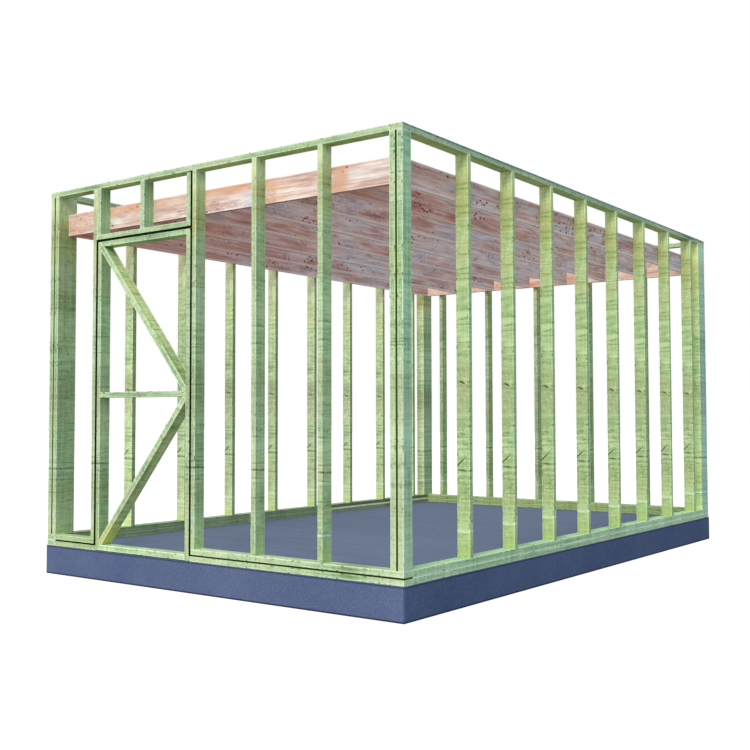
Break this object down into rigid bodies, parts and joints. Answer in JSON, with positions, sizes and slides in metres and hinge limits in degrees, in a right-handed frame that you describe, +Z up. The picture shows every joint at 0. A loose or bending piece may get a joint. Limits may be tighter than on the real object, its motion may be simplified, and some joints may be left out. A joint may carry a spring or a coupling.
{
  "type": "timber stud frame of a small building",
  "caption": "Open timber stud frame of a small flat-topped building on a concrete slab, with ceiling joists and a framed, K-braced door leaf that swings inward.",
  "frame": {"origin": "middle of the slab's underside", "axes": "+Z up; +X along the front wall, from its door end to its other end; +Y from the front wall to the back wall"},
  "size_m": [3.084, 5.089, 2.7559],
  "materials": {
    "treated_pine": "sawn, pressure-treated, pale green",
    "ceiling_pine": "sawn, untreated, pinkish brown",
    "concrete": "cast, speckled blue-grey",
    "galvanised_steel": "zinc-plated, dull"
  },
  "bodies": {
    "frame": {"back_left_post": "treated_pine", "back_right_post": "treated_pine", "back_rim_joist": "ceiling_pine", "back_sole_plate": "treated_pine", "back_stud_1": "treated_pine", "back_stud_2": "treated_pine", "back_stud_3": "treated_pine", "back_stud_4": "treated_pine", "back_stud_5": "treated_pine", "back_top_plate": "treated_pine", "ceiling_joist_1": "ceiling_pine", "ceiling_joist_2": "ceiling_pine", "ceiling_joist_3": "ceiling_pine", "ceiling_joist_4": "ceiling_pine", "ceiling_joist_5": "ceiling_pine", "ceiling_joist_6": "ceiling_pine", "ceiling_joist_7": "ceiling_pine", "ceiling_joist_8": "ceiling_pine", "concrete_slab": "concrete", "door_header": "treated_pine", "front_left_post": "treated_pine", "front_right_post": "treated_pine", "front_rim_joist": "ceiling_pine", "front_sole_plate": "treated_pine", "front_stud_1": "treated_pine", "front_stud_2": "treated_pine", "front_top_plate": "treated_pine", "hinge_1_fixed_half": "galvanised_steel", "hinge_2_fixed_half": "galvanised_steel", "hinge_stud_and_sole": "treated_pine", "latch_stud": "treated_pine", "left_sole_plate": "treated_pine", "left_stud_1": "treated_pine", "left_stud_2": "treated_pine", "left_stud_3": "treated_pine", "left_stud_4": "treated_pine", "left_stud_5": "treated_pine", "left_stud_6": "treated_pine", "left_stud_7": "treated_pine", "left_stud_8": "treated_pine", "left_top_plate": "treated_pine", "right_sole_plate": "treated_pine", "right_stud_1": "treated_pine", "right_stud_2": "treated_pine", "right_stud_3": "treated_pine", "right_stud_4": "treated_pine", "right_stud_5": "treated_pine", "right_stud_6": "treated_pine", "right_stud_7": "treated_pine", "right_stud_8": "treated_pine", "right_top_plate": "treated_pine"},
    "door": {"door_bottom_rail": "treated_pine", "door_hinge_stile": "treated_pine", "door_latch_stile": "treated_pine", "door_lower_brace": "treated_pine", "door_middle_rail": "treated_pine", "door_top_rail": "treated_pine", "door_upper_brace": "treated_pine", "hinge_1_moving_half": "galvanised_steel", "hinge_2_moving_half": "galvanised_steel"}
  },
  "joints": [
    {"name": "door_swing", "type": "hinge", "parent": "frame", "child": "door", "pos_m": [-1.02075, -2.442, 1.275], "axis": [0, 0, 1], "range_deg": [0, 110]}
  ]
}
